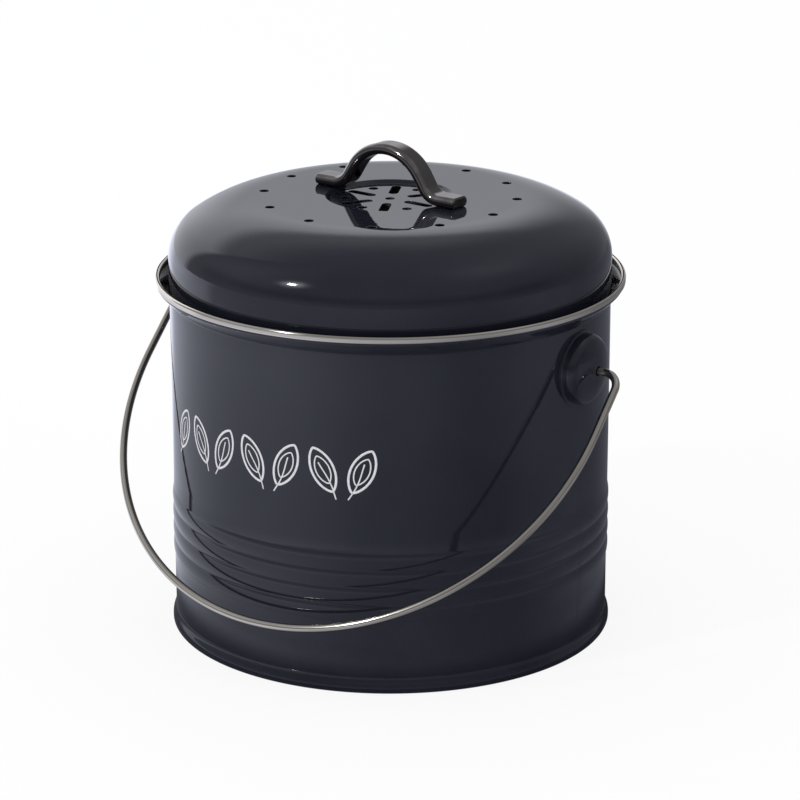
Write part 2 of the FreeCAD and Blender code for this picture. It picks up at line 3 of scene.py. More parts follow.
import bpy
import numpy as np
from mathutils import Matrix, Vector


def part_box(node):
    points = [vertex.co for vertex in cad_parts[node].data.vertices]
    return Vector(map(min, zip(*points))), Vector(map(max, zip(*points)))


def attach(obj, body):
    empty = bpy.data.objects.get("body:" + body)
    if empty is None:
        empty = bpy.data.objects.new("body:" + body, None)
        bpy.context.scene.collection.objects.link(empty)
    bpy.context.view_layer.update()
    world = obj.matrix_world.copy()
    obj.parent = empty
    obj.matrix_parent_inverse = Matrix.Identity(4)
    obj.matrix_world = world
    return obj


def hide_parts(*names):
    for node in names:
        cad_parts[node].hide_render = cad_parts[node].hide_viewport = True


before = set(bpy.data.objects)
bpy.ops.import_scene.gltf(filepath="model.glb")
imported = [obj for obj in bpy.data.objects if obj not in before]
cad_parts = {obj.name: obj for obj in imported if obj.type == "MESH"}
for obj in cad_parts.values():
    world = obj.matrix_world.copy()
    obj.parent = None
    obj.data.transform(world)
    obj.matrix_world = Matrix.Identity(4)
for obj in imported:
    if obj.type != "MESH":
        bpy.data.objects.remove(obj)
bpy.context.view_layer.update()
print("frame loaded")

mm = 0.001                 # sizes below are in millimetres, meshes in metres


def boxOf(node):
    # lowest and highest corner of a CAD node, in mm
    low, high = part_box(node)
    return np.array(low) / mm, np.array(high) / mm


# Grids, welding and meshes

def gridFaces(rows, columns, wrapRows=False, wrapColumns=False):
    # quads between neighbouring grid points; a wrapped direction joins its last line to its first
    r, c = np.meshgrid(np.arange(rows - (not wrapRows)), np.arange(columns - (not wrapColumns)), indexing="ij")
    rNext, cNext = (r + 1) % rows, (c + 1) % columns
    corners = [r * columns + c, r * columns + cNext, rNext * columns + cNext, rNext * columns + c]
    return np.stack(corners, -1).reshape(-1, 4)


def joinGrids(*grids):
    # several (points, quads) put one after the other
    starts = np.cumsum([0] + [len(points) for points, _ in grids[:-1]])
    return (np.concatenate([points for points, _ in grids]),
            np.concatenate([quads + start for (_, quads), start in zip(grids, starts)]))


def weld(points, quads, near=1e-4):
    # points that share a cell of the rounding become one, and quads pinched to three corners become triangles
    _, first, index = np.unique(np.round(points / near).astype(np.int64), axis=0, return_index=True,
                                return_inverse=True)
    quads = index.reshape(-1)[quads]
    same = quads == np.roll(quads, -1, axis=1)
    pinched = same.sum(1) == 1
    order = (same[pinched].argmax(1)[:, None] + np.arange(1, 4)) % 4
    return first, quads[~same.any(1)], np.take_along_axis(quads[pinched], order, 1)


def makePiece(name, grid, body, finish, replaced=(), attributes=None):
    points, quads = grid
    first, quads, triangles = weld(points, quads)
    spots = points[first]
    fans = np.concatenate([quads[:, [0, 1, 2]], quads[:, [0, 2, 3]], triangles])
    a, b, c = spots[fans[:, 0]], spots[fans[:, 1]], spots[fans[:, 2]]
    if np.einsum("ij,ij->i", a, np.cross(b, c)).sum() < 0:     # signed volume, so faces point outwards
        quads, triangles = quads[:, ::-1], triangles[:, ::-1]
    loops = np.concatenate([quads.ravel(), triangles.ravel()]).astype(np.int32)
    starts = np.concatenate([4 * np.arange(len(quads)), 4 * len(quads) + 3 * np.arange(len(triangles))])
    mesh = bpy.data.meshes.new(name)
    mesh.vertices.add(len(spots))
    mesh.vertices.foreach_set("co", (spots * mm).astype(np.float32).ravel())
    mesh.loops.add(len(loops))
    mesh.loops.foreach_set("vertex_index", loops)
    mesh.polygons.add(len(starts))
    mesh.polygons.foreach_set("loop_start", starts.astype(np.int32))
    mesh.polygons.foreach_set("use_smooth", np.ones(len(starts), bool))
    for label, values in (attributes or {}).items():
        layer = mesh.attributes.new(label, "FLOAT_VECTOR" if values.ndim == 2 else "FLOAT", "POINT")
        layer.data.foreach_set("vector" if values.ndim == 2 else "value", values[first].astype(np.float32).ravel())
    mesh.update(calc_edges=True)
    mesh.validate()
    mesh.materials.append(finish)
    piece = bpy.data.objects.new(name, mesh)
    bpy.context.scene.collection.objects.link(piece)
    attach(piece, body)
    if replaced:
        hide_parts(*replaced)
    print("made", name, len(fans), "triangles")
    return piece


# Profiles, revolves and sweeps

def arcPoints(centre, radius, fromDegrees, toDegrees, count):
    # centre + radius (cos t, sin t), both ends included
    t = np.radians(np.linspace(fromDegrees, toDegrees, count))
    return np.stack([centre[0] + radius * np.cos(t), centre[1] + radius * np.sin(t)], -1)


def roundedLine(corners, closed=False, perArc=7, support=0.25):
    # straight runs joined by tangent arcs; each corner is x, y and the radius of its arc
    # a support point stands beside each arc, so that smooth shading stays flat on the runs
    spots = np.array([corner[:2] for corner in corners], float)
    pieces = []
    for k, corner in enumerate(corners):
        if not closed and k in (0, len(corners) - 1):
            pieces.append(spots[k:k + 1])
            continue
        here, radius = spots[k], corner[2]
        back = spots[k - 1] - here
        on = spots[(k + 1) % len(spots)] - here
        back, on = back / np.linalg.norm(back), on / np.linalg.norm(on)
        halfAngle = np.arccos(np.clip(back @ on, -1, 1)) / 2
        reach = radius / np.tan(halfAngle)
        middle = back + on
        centre = here + middle / np.linalg.norm(middle) * radius / np.sin(halfAngle)
        start, end = here + back * reach - centre, here + on * reach - centre
        turn = pi - 2 * halfAngle
        share = np.linspace(0, 1, perArc)[:, None]
        arc = centre + (start * np.sin((1 - share) * turn) + end * np.sin(share * turn)) / np.sin(turn)
        beside = min(support, 0.5 * radius + 0.05)
        pieces.append(np.concatenate([[arc[0] + back * beside], arc, [arc[-1] + on * beside]]))
    return np.concatenate(pieces)


def revolve(profile, angles, closed=True):
    # (radius cos a, radius sin a, height): one row for each profile point, one column for each angle
    radius, height = profile[:, :1], profile[:, 1:2]
    points = np.stack([radius * np.cos(angles), radius * np.sin(angles), height + 0 * angles], -1)
    return points.reshape(-1, 3), gridFaces(len(profile), len(angles), closed, True)


def fullTurn(count):
    return np.linspace(0, 2 * pi, count, endpoint=False)


def turned(points, degrees):
    # turned about the upright axis
    c, s = np.cos(radians(degrees)), np.sin(radians(degrees))
    return points @ np.array([[c, s, 0], [-s, c, 0], [0, 0, 1]])


def sweep(path, across, core, outward, reach, endRound, endRows=6):
    # a section (core + reach x outward) carried along a flat path; across is the path plane's normal
    # the ends close over a quarter round of endRound, then run in to their middle
    steps = np.diff(path, axis=0)
    steps = steps / np.linalg.norm(steps, axis=1)[:, None]
    along = np.concatenate([steps[:1], steps[:-1] + steps[1:], steps[-1:]])
    along = along / np.linalg.norm(along, axis=1)[:, None]
    t = np.linspace(0, pi / 2, endRows)
    advance = np.concatenate([endRound * np.sin(t), [endRound] * 2]) - endRound
    inset = np.concatenate([endRound * (1 - np.cos(t)), [min(endRound + 0.3, reach), reach]])
    shrink = np.concatenate([np.ones(endRows + 1), [0]])
    body = np.zeros(len(path) - 2)
    spots = np.concatenate([(path[0] - along[0] * advance[:, None])[::-1], path[1:-1],
                            path[-1] + along[-1] * advance[:, None]])
    heading = np.concatenate([np.repeat(along[:1], len(t) + 2, 0), along[1:-1],
                              np.repeat(along[-1:], len(t) + 2, 0)])
    inset = np.concatenate([inset[::-1], body, inset])
    shrink = np.concatenate([shrink[::-1], body + 1, shrink])
    up = np.cross(heading, across)
    section = core[None] * shrink[:, None, None] + outward[None] * (reach - inset)[:, None, None]
    points = spots[:, None] + section[..., :1] * across + section[..., 1:] * up[:, None]
    length = np.concatenate([[0], np.cumsum(np.linalg.norm(np.diff(spots, axis=0), axis=1))])
    length = np.repeat(length[:, None], len(core), 1)
    return (points.reshape(-1, 3), gridFaces(len(spots), len(core), False, True)), length


# Finishes

def startFinish(name):
    material = bpy.data.materials.new(name)
    material.use_nodes = True
    return material, material.node_tree, material.node_tree.nodes["Principled BSDF"]


def addNode(tree, kind, settings=None, **values):
    made = tree.nodes.new(kind)
    for label, value in (settings or {}).items():
        setattr(made, label, value)
    for label, value in values.items():
        socket = made.inputs[label.replace("_", " ")]
        if isinstance(value, bpy.types.NodeSocket):
            tree.links.new(value, socket)
        else:
            socket.default_value = value
    return made


def place(tree, scale=(1, 1, 1), attribute=None):
    # object coordinates, or a piece's own attribute, stretched by scale
    if attribute:
        source = addNode(tree, "ShaderNodeAttribute", {"attribute_name": attribute}).outputs["Vector"]
    else:
        source = addNode(tree, "ShaderNodeTexCoord").outputs["Object"]
    return addNode(tree, "ShaderNodeMapping", Vector=source, Scale=scale).outputs["Vector"]


def noise(tree, where, scale, detail=4.0, roughness=0.55):
    made = addNode(tree, "ShaderNodeTexNoise", Vector=where, Scale=scale, Detail=detail, Roughness=roughness)
    return made.outputs["Fac"]


def spread(tree, value, fromLow, fromHigh, toLow, toHigh):
    made = addNode(tree, "ShaderNodeMapRange", Value=value, From_Min=fromLow, From_Max=fromHigh,
                   To_Min=toLow, To_Max=toHigh)
    return made.outputs["Result"]


def blendColours(tree, factor, first, second):
    made = addNode(tree, "ShaderNodeMix", {"data_type": "RGBA"})
    tree.links.new(factor, made.inputs[0])
    for socket, colour in ((made.inputs[6], first), (made.inputs[7], second)):
        if isinstance(colour, bpy.types.NodeSocket):
            tree.links.new(colour, socket)
        else:
            socket.default_value = (*colour, 1)
    return made.outputs[2]


def bump(tree, shader, height, distance, strength=1.0):
    made = addNode(tree, "ShaderNodeBump", Height=height, Distance=distance, Strength=strength)
    tree.links.new(made.outputs["Normal"], shader.inputs["Normal"])


enamelLook = {"deep": (0.0100, 0.0110, 0.0175), "thin": (0.0120, 0.0131, 0.0208), "smooth": 0.015, "dull": 0.045}


def enamelFinish():
    # baked enamel: deep navy, glossy, with faint orange peel and a little haze
    material, tree, shader = startFinish("enamel_navy")
    where = place(tree)
    cloud = noise(tree, where, 38.0, 3.0)
    haze = noise(tree, where, 120.0, 5.0, 0.65)
    peel = noise(tree, where, 420.0, 2.0, 0.4)
    tree.links.new(blendColours(tree, spread(tree, cloud, 0.35, 0.7, 0, 1), enamelLook["deep"], enamelLook["thin"]),
                   shader.inputs["Base Color"])
    tree.links.new(spread(tree, haze, 0.3, 0.75, enamelLook["smooth"], enamelLook["dull"]),
                   shader.inputs["Roughness"])
    bump(tree, shader, peel, 0.000012)
    shader.inputs["IOR"].default_value = 1.5
    return material


steelLook = {"bright": (0.76, 0.71, 0.62), "dim": (0.57, 0.53, 0.46), "smooth": 0.05, "dull": 0.13}


def drawnSteelFinish(name, look, attribute, fine, coarse):
    # drawn steel: streaks follow the length that the piece keeps in its attribute
    material, tree, shader = startFinish(name)
    streak = noise(tree, place(tree, fine, attribute), 1.0, 4.0, 0.6)
    cloud = noise(tree, place(tree, coarse, attribute), 1.0, 3.0)
    tree.links.new(blendColours(tree, spread(tree, streak, 0.3, 0.7, 0, 1), look["dim"], look["bright"]),
                   shader.inputs["Base Color"])
    mixed = addNode(tree, "ShaderNodeMath", {"operation": "MULTIPLY"})
    tree.links.new(streak, mixed.inputs[0])
    tree.links.new(cloud, mixed.inputs[1])
    tree.links.new(spread(tree, mixed.outputs[0], 0.12, 0.4, look["smooth"], look["dull"]),
                   shader.inputs["Roughness"])
    bump(tree, shader, streak, 0.000006)
    shader.inputs["Metallic"].default_value = 1.0
    return material


gunmetalLook = {"face": (0.15, 0.14, 0.132), "worn": (0.34, 0.32, 0.30), "smooth": 0.04, "dull": 0.09}


def gunmetalFinish():
    # dark plated casting, rubbed brighter along its edges
    material, tree, shader = startFinish("gunmetal")
    where = place(tree)
    grain = noise(tree, where, 900.0, 4.0, 0.6)
    cloud = noise(tree, where, 140.0, 4.0, 0.6)
    edge = addNode(tree, "ShaderNodeAttribute", {"attribute_name": "wear"}).outputs["Fac"]
    rubbed = addNode(tree, "ShaderNodeMath", {"operation": "MULTIPLY"})
    tree.links.new(edge, rubbed.inputs[0])
    tree.links.new(spread(tree, cloud, 0.3, 0.62, 0.25, 1.0), rubbed.inputs[1])
    tree.links.new(blendColours(tree, rubbed.outputs[0], gunmetalLook["face"], gunmetalLook["worn"]),
                   shader.inputs["Base Color"])
    tree.links.new(spread(tree, cloud, 0.3, 0.7, gunmetalLook["smooth"], gunmetalLook["dull"]),
                   shader.inputs["Roughness"])
    bump(tree, shader, grain, 0.000008)
    shader.inputs["Metallic"].default_value = 1.0
    return material


def zincFinish():
    # zinc-plated screws and washers, with a spangled grey
    material, tree, shader = startFinish("zinc")
    where = place(tree)
    spangle = addNode(tree, "ShaderNodeTexVoronoi", Vector=where, Scale=700.0).outputs["Distance"]
    cloud = noise(tree, where, 300.0)
    tree.links.new(blendColours(tree, spread(tree, spangle, 0.0, 0.8, 0, 1), (0.50, 0.51, 0.52), (0.64, 0.65, 0.65)),
                   shader.inputs["Base Color"])
    tree.links.new(spread(tree, cloud, 0.3, 0.7, 0.28, 0.45), shader.inputs["Roughness"])
    bump(tree, shader, cloud, 0.00001)
    shader.inputs["Metallic"].default_value = 1.0
    return material


def plasticFinish():
    # moulded black plastic with a fine spark-eroded texture
    material, tree, shader = startFinish("black_plastic")
    where = place(tree)
    grain = noise(tree, where, 1600.0, 3.0)
    cloud = noise(tree, where, 60.0)
    tree.links.new(blendColours(tree, spread(tree, cloud, 0.3, 0.7, 0, 1), (0.012, 0.012, 0.013), (0.02, 0.02, 0.021)),
                   shader.inputs["Base Color"])
    tree.links.new(spread(tree, cloud, 0.3, 0.7, 0.42, 0.55), shader.inputs["Roughness"])
    bump(tree, shader, grain, 0.00003)
    return material


def feltFinish():
    # needled felt loaded with charcoal: matted fibres and dark specks
    material, tree, shader = startFinish("charcoal_felt")
    where = place(tree)
    fibres = noise(tree, place(tree, (1, 0.25, 1)), 2200.0, 5.0, 0.7)
    crossed = noise(tree, place(tree, (0.25, 1, 1)), 2200.0, 5.0, 0.7)
    specks = addNode(tree, "ShaderNodeTexVoronoi", Vector=where, Scale=900.0).outputs["Distance"]
    matted = addNode(tree, "ShaderNodeMath", {"operation": "MAXIMUM"})
    tree.links.new(fibres, matted.inputs[0])
    tree.links.new(crossed, matted.inputs[1])
    grey = blendColours(tree, spread(tree, matted.outputs[0], 0.4, 0.75, 0, 1), (0.010, 0.010, 0.011),
                        (0.055, 0.056, 0.060))
    tree.links.new(blendColours(tree, spread(tree, specks, 0.05, 0.3, 0, 1), (0.004, 0.004, 0.004), grey),
                   shader.inputs["Base Color"])
    tree.links.new(spread(tree, matted.outputs[0], 0.3, 0.8, 0.8, 1.0), shader.inputs["Roughness"])
    bump(tree, shader, matted.outputs[0], 0.0002)
    shader.inputs["Sheen Weight"].default_value = 0.2
    return material


def inkFinish():
    # white screen-printing ink, a little uneven
    material, tree, shader = startFinish("white_ink")
    where = place(tree)
    mottle = noise(tree, where, 700.0, 4.0)
    tree.links.new(blendColours(tree, spread(tree, mottle, 0.3, 0.7, 0, 1), (0.62, 0.62, 0.66), (0.74, 0.74, 0.77)),
                   shader.inputs["Base Color"])
    tree.links.new(spread(tree, mottle, 0.3, 0.7, 0.3, 0.5), shader.inputs["Roughness"])
    return material


enamel = enamelFinish()
wireSteel = drawnSteelFinish("drawn_wire_steel", steelLook, "drawn", (900, 900, 40), (90, 90, 25))
bandSteel = drawnSteelFinish("rolled_band_steel", steelLook, "drawn", (1400, 1400, 12), (120, 120, 20))
gunmetal = gunmetalFinish()
zinc = zincFinish()
blackPlastic = plasticFinish()
charcoalFelt = feltFinish()
whiteInk = inkFinish()
print("finishes made")


# Wall of the bin

wall = {
    "sheet": 0.6, "mouthReach": 5.2, "mouthBend": 2.0, "mouthSlope": 43.5, "lipLength": 2.6, "lipBend": 0.9,
    "shelfReach": 2.6, "shelfBend": 1.0, "shelfSlope": 47.0,
    "ribFoot": 29.6, "ribPitch": 7.2, "ribCount": 4, "ribDepth": 0.55,
    "grooveDepth": 0.12, "grooveHalfWidth": 0.35, "lapStep": 0.08,
    "foldHalfWidth": 3.0, "foldDepth": 1.1, "seamFoot": 5.5, "seamTop": 138.5,
    "seamFade": 1.5, "seamReach": 5.0, "columns": 360, "rowsPerRib": 14,
}
wallLow, wallHigh = boxOf("body_wall")
wallRadius = wallHigh[0] - wall["mouthReach"]


def mouthLine(depth):
    # mouth going up, at a depth in the sheet: bend to the shelf, bend to the cone, bend to the upright lip
    slopes = np.radians([0, wall["shelfSlope"], wall["mouthSlope"], 0])       # from upright
    lipFoot = wallHigh[2] - wall["lipLength"]
    coneFoot = lipFoot - (wall["mouthReach"] - wall["shelfReach"]) / np.tan(slopes[2])
    shelfFoot = coneFoot - wall["shelfReach"] / np.tan(slopes[1])
    corners = wallRadius + np.array([[0, 0], [wall["shelfReach"], 0], [wall["mouthReach"], 0]], float)
    corners[:, 1] = shelfFoot, coneFoot, lipFoot
    middle, half = (slopes[:-1] + slopes[1:]) / 2, (slopes[:-1] - slopes[1:]) / 2
    corners += depth / np.cos(half)[:, None] * np.stack([-np.cos(middle), np.sin(middle)], -1)
    bends = wall["shelfBend"] + depth, wall["mouthBend"] - depth, wall["lipBend"] - depth
    below, above = [corners[0, 0], shelfFoot - 3], [corners[2, 0], wallHigh[2]]
    return roundedLine([below] + [(*corner, bend) for corner, bend in zip(corners, bends)] + [above], perArc=9)


def ribRadius(z):
    # ribs: scallops, depth times 1 - (2 s - 1)^2 with the share s of the height in a pitch
    turns = (z - wall["ribFoot"]) / wall["ribPitch"]
    inside = (turns > 0) & (turns < wall["ribCount"])
    return wallRadius + np.where(inside, wall["ribDepth"] * (1 - (2 * (turns % 1) - 1) ** 2), 0.0)


def smoothStep(value):
    share = np.clip(value, 0, 1)
    return share * share * (3 - 2 * share)


def makeWall():
    # rows run up the outside, round the lip and down the inside; columns go round and crowd at the seam
    ribTop = wall["ribFoot"] + wall["ribCount"] * wall["ribPitch"]
    fade = wall["seamFade"]
    seamRows = [wall["seamFoot"], wall["seamFoot"] + fade, wall["seamTop"] - fade, wall["seamTop"]]
    mouthOut, mouthIn = mouthLine(0), mouthLine(wall["sheet"])
    z = np.unique(np.concatenate([
        np.linspace(wallLow[2], wall["ribFoot"], 8),
        np.linspace(wall["ribFoot"], ribTop, wall["ribCount"] * wall["rowsPerRib"] + 1),
        np.linspace(ribTop, mouthOut[0, 1] - 1, 12), seamRows]))
    z = z[z < mouthOut[0, 1]]
    outside = np.stack([ribRadius(z), z], -1)
    inside = outside[::-1] - [wall["sheet"], 0]
    profile = np.concatenate([outside, mouthOut, mouthIn[::-1], inside])
    isOutside = np.arange(len(profile)) < len(outside)
    isInside = np.arange(len(profile)) >= len(profile) - len(inside)
    # distances from the seam along the wall, in mm
    crowd = np.array([0.1, 0.2, 0.3, 0.45, 0.7, 1.2, 2.0, 2.6, 3.0, 3.5, 4.2])
    crowd = np.concatenate([-crowd[::-1], [0], crowd]) / wallRadius
    plain = fullTurn(wall["columns"]) - pi
    angles = np.unique(np.concatenate([plain[np.abs(plain) > wall["seamReach"] / wallRadius], crowd]))
    arc = angles * wallRadius
    height = profile[:, 1]
    ends = smoothStep((height - wall["seamFoot"]) / fade) * smoothStep((wall["seamTop"] - height) / fade)
    groove = -wall["grooveDepth"] * np.exp(-(arc / wall["grooveHalfWidth"]) ** 2)
    lap = -wall["lapStep"] * smoothStep((arc + 0.3) / 0.6) * smoothStep((4.0 - arc) / 3.0)
    fold = -wall["foldDepth"] * smoothStep((wall["foldHalfWidth"] + 0.4 - np.abs(arc)) / 0.8)
    radius = profile[:, :1] + ends[:, None] * (isOutside[:, None] * (groove + lap) + isInside[:, None] * fold)
    points = np.stack([radius * np.cos(angles), radius * np.sin(angles), profile[:, 1:] + 0 * angles], -1)
    grid = points.reshape(-1, 3), gridFaces(len(profile), len(angles), True, True)
    makePiece("bin_wall", grid, "bin", enamel, ["body_wall"])


makeWall()


# Base, its hem folded up round the foot of the wall

base = {"sheet": 0.6, "floorTop": 4.6, "bend": 1.5, "skirtRadius": 89.35, "hemTop": 6.4, "hemFoot": 1.5,
        "coat": 0.02, "columns": 288}


def makeBase():
    # the sheet runs over the floor, down the skirt, out under the wall and up as the hem, which the enamel joins to
    # the wall: radius = wall + (reach - wall) (3 u^2 - 2 u^3), u the share of the way down the hem
    reach = boxOf("base_pan")[1][0]
    sheet = base["sheet"]
    floorUnder = base["floorTop"] - sheet
    skirtIn = base["skirtRadius"] - sheet
    start = wallRadius + base["coat"]
    over = roundedLine([(0, base["floorTop"]), (base["skirtRadius"], base["floorTop"], base["bend"]),
                        (base["skirtRadius"], sheet, 0.15), (start, sheet, 0.15), (start, base["hemTop"])])
    share = np.linspace(0, 1, 18)[1:, None]
    hem = np.concatenate([start + (reach - start) * smoothStep(share),
                          base["hemTop"] + (base["hemFoot"] - base["hemTop"]) * share], 1)
    under = roundedLine([(reach, base["hemFoot"] - 0.1), (reach, 0, 0.6), (skirtIn, 0, 0.3),
                         (skirtIn, floorUnder, base["bend"] - sheet), (0, floorUnder)])
    profile = np.concatenate([over, hem, under])
    makePiece("bin_base", revolve(profile, fullTurn(base["columns"]), False), "bin", enamel, ["base_pan"])


makeBase()


# Steel band pressed over the mouth

band = {"slot": 0.7, "slotTop": 0.95, "backRound": 0.98, "endRound": 0.3, "slotRound": 0.08, "columns": 360,
        "streakWave": 0.6}


def makeBand():
    # a U with a round back, open below, where the lip stands in its slot
    low, high = boxOf("rim_band")
    lipMiddle = wallHigh[0] - wall["sheet"] / 2
    width = high[0] - lipMiddle
    centre = np.array([lipMiddle, (low[2] + high[2]) / 2])
    slot, slotTop = band["slot"] / 2, high[2] - band["slotTop"]
    half = [(width, high[2], band["backRound"]), (width, low[2], band["endRound"]), (slot, low[2], band["endRound"]),
            (slot, slotTop, band["slotRound"])]
    corners = half + [(-x, z, bend) for x, z, bend in half[::-1]]
    profile = roundedLine([(lipMiddle + x, z, bend) for x, z, bend in corners], True, 10)
    angles = fullTurn(band["columns"])
    grid = revolve(profile, angles)
    off = np.repeat((profile - centre) * mm, len(angles), 0)
    length = np.tile(angles * centre[0] * mm, len(profile))
    wave = band["streakWave"]
    drawn = np.stack([off[:, 0], off[:, 1], wave * np.sin(length / wave)], -1)
    makePiece("rim_band_steel", grid, "bin", bandSteel, ["rim_band"], {"drawn": drawn})


makeBand()


# Ears that carry the bail

ear = {"sheet": 0.8, "cupRadius": 14.5, "flangeRadius": 15.7, "flange": 0.3, "shoulder": 4.5, "crown": 30.5,
       "skirtTop": 91.5, "seat": 90.05, "holeRadius": 1.9, "fillet": 0.6, "edge": 0.25, "columns": 144}


def makeEar(name, node, side):
    # a revolved cup about the ear's own axis, its flange laid on the round wall: x = sqrt(seat^2 - y^2)
    low, high = boxOf(node)
    height = (low[2] + high[2]) / 2
    apex = max(abs(low[0]), abs(high[0]))
    sheet, edge = ear["sheet"], ear["edge"]
    shoulderMiddle = ear["cupRadius"] - ear["shoulder"]
    meet = np.degrees(np.arcsin(shoulderMiddle / (ear["crown"] - ear["shoulder"])))
    crownMiddle = apex - ear["crown"]

    def cupLine(inset):
        # from the hole's edge over the crown and the shoulder to the skirt, as radius and x
        start = np.degrees(np.arcsin((ear["holeRadius"] + edge) / (ear["crown"] - inset)))
        crown = arcPoints((crownMiddle, 0), ear["crown"] - inset, start, meet, 14)
        turn = arcPoints((ear["skirtTop"], shoulderMiddle), ear["shoulder"] - inset, meet, 90, 10)[1:]
        return np.concatenate([crown, turn])[:, ::-1]

    phi = fullTurn(ear["columns"])[None]

    def onWall(rho, lift):
        return np.sqrt((ear["seat"] + lift) ** 2 - (rho * np.cos(phi)) ** 2)

    outerCup, innerCup = cupLine(0), cupLine(sheet)[::-1]
    t = np.linspace(pi / 2, 0, 6)[:, None]
    footRho = ear["cupRadius"] + ear["fillet"] * (1 - np.sin(t))
    footX = onWall(footRho, ear["flange"]) + ear["fillet"] * (1 - np.cos(t))
    rimT = np.linspace(pi / 2, -pi / 2, 9)[:, None]
    half = ear["flange"] / 2
    rimRho = ear["flangeRadius"] - half + half * np.cos(rimT)
    rimX = onWall(rimRho, half) + half * np.sin(rimT)
    plainRho = np.array([[ear["cupRadius"] + ear["fillet"] + 0.1], [ear["flangeRadius"] - half - 0.1]])
    plainX = onWall(plainRho, ear["flange"])
    backRho = np.array([[ear["flangeRadius"] - half - 0.2], [ear["cupRadius"] - sheet + 0.3],
                        [ear["cupRadius"] - sheet]])
    backX = onWall(backRho, 0) + np.array([[0], [0], [0.3]])
    lipT = np.linspace(-pi / 2, -1.5 * pi, 7)[:, None]
    lipRho = ear["holeRadius"] + edge + edge * np.cos(lipT)
    lipMiddle = crownMiddle + np.sqrt((ear["crown"] - sheet / 2) ** 2 - ear["holeRadius"] ** 2)
    lipX = lipMiddle + (sheet / 2 + 0.004) * np.sin(lipT)
    wide = np.ones_like(phi)
    rho = np.concatenate([outerCup[:, :1] * wide, footRho * wide, plainRho * wide, rimRho * wide, backRho * wide,
                          innerCup[:, :1] * wide, lipRho[1:-1] * wide])
    x = np.concatenate([outerCup[:, 1:] * wide, footX, plainX, rimX, backX, innerCup[:, 1:] * wide,
                        lipX[1:-1] * wide])
    points = np.stack([side * x, rho * np.cos(phi), height + rho * np.sin(phi)], -1)
    makePiece(name, (points.reshape(-1, 3), gridFaces(len(rho), phi.size, True, True)), "bin", enamel,
              [node])


makeEar("ear_cup_left", "left_ear", -1)
makeEar("ear_cup_right", "right_ear", 1)


# Bail

bail = {"wire": 1.6, "hookStart": 93.2, "hookRise": 4.4, "hookBend": 2.4, "legReach": 108.0, "legBend": 7.0,
        "legLength": 28.6, "lean": 46.4, "endRound": 0.7, "sides": 28, "bowSteps": 160}


def makeBail():
    # hook, turn, leg, half circle, leg, turn, hook: flat in the plane that leans forward from the ears
    pivot = boxOf("right_ear")
    pivot = (pivot[0][2] + pivot[1][2]) / 2
    reach = bail["legReach"]
    leg = roundedLine([(bail["hookStart"], -bail["hookRise"]), (bail["hookStart"], 0, bail["hookBend"]),
                       (reach, 0, bail["legBend"]), (reach, bail["legLength"])], perArc=12, support=0.8)
    bow = arcPoints((0, bail["legLength"]), reach, 0, 180, bail["bowSteps"])[1:-1]
    flat = np.concatenate([leg, bow, (leg * [-1, 1])[::-1]])
    lean = radians(bail["lean"])
    down = np.array([0, -np.sin(lean), -np.cos(lean)])
    path = flat[:, :1] * np.array([1.0, 0, 0]) + flat[:, 1:] * down + [0, 0, pivot]
    across = np.cross([1.0, 0, 0], down)
    t = fullTurn(bail["sides"])
    outward = np.stack([np.cos(t), np.sin(t)], -1)
    grid, length = sweep(path, across, 0 * outward, outward, bail["wire"], bail["endRound"])
    section = np.tile(outward * bail["wire"] * mm, (len(length), 1))
    drawn = np.concatenate([section, length.reshape(-1, 1) * mm], 1)
    makePiece("bail_wire_steel", grid, "bail", wireSteel, ["bail_wire"], {"drawn": drawn})


makeBail()


# Lid

lid = {
    "sheet": 0.6, "turn": -5.0, "plateau": 52.0, "shoulderLarge": 55.0, "shoulderSmall": 18.0,
    "recessDepth": 1.5, "recessTop": 26.0, "recessFloor": 24.5, "recessRound": 0.9,
    "hemUp": 3.0, "hole": 1.9, "slotFrom": 7.8, "slotTo": 21.0, "innerCircle": 18.0, "outerCircle": 51.7,
    "roll": 0.22, "innerZone": (6.5, 22.5), "outerZone": (46.0, 56.0), "sectors": 12, "stepsPerSector": 24,
    "innerSteps": 16, "outerSteps": 9,
}
lidLow, lidHigh = boxOf("lid_shell")
lidTop, lidRadius = lidHigh[2], lidHigh[0]


def lidHeight(r):
    # flat plateau, then the large arc: top - (R - sqrt(R^2 - (r - plateau)^2)); the recess floor lies lower
    beyond = np.maximum(r - lid["plateau"], 0)
    sag = lid["shoulderLarge"] - np.sqrt(lid["shoulderLarge"] ** 2 - beyond ** 2)
    return lidTop - sag - np.where(r < lid["recessFloor"] + 0.5, lid["recessDepth"], 0)


def edgeRings():
    # rings of a vent's sheet, from under the lid, round the rolled edge, to its top:
    # distance beyond the edge, share of the way out to the zone's border, and height below the top
    roll, sheet = lid["roll"], lid["sheet"]
    t = np.linspace(0, pi / 2, 4)
    underRoll = np.stack([roll * (1 - np.sin(t)), -sheet + roll * (1 - np.cos(t))], -1)
    topRoll = np.stack([roll * (1 - np.sin(t)), -roll * (1 - np.cos(t))], -1)[::-1]
    plain = np.array([1, 0.62, 0.34, 0.14, 0.0])
    beyond = np.concatenate([np.full(5, roll + 0.12), underRoll[:, 0], topRoll[:, 0], np.full(5, roll + 0.12)])
    share = np.concatenate([plain, np.zeros(8), plain[::-1]])
    drop = np.concatenate([np.full(5, -sheet), underRoll[:, 1], topRoll[:, 1], np.zeros(5)])
    return beyond[:, None], share[:, None], drop[:, None]


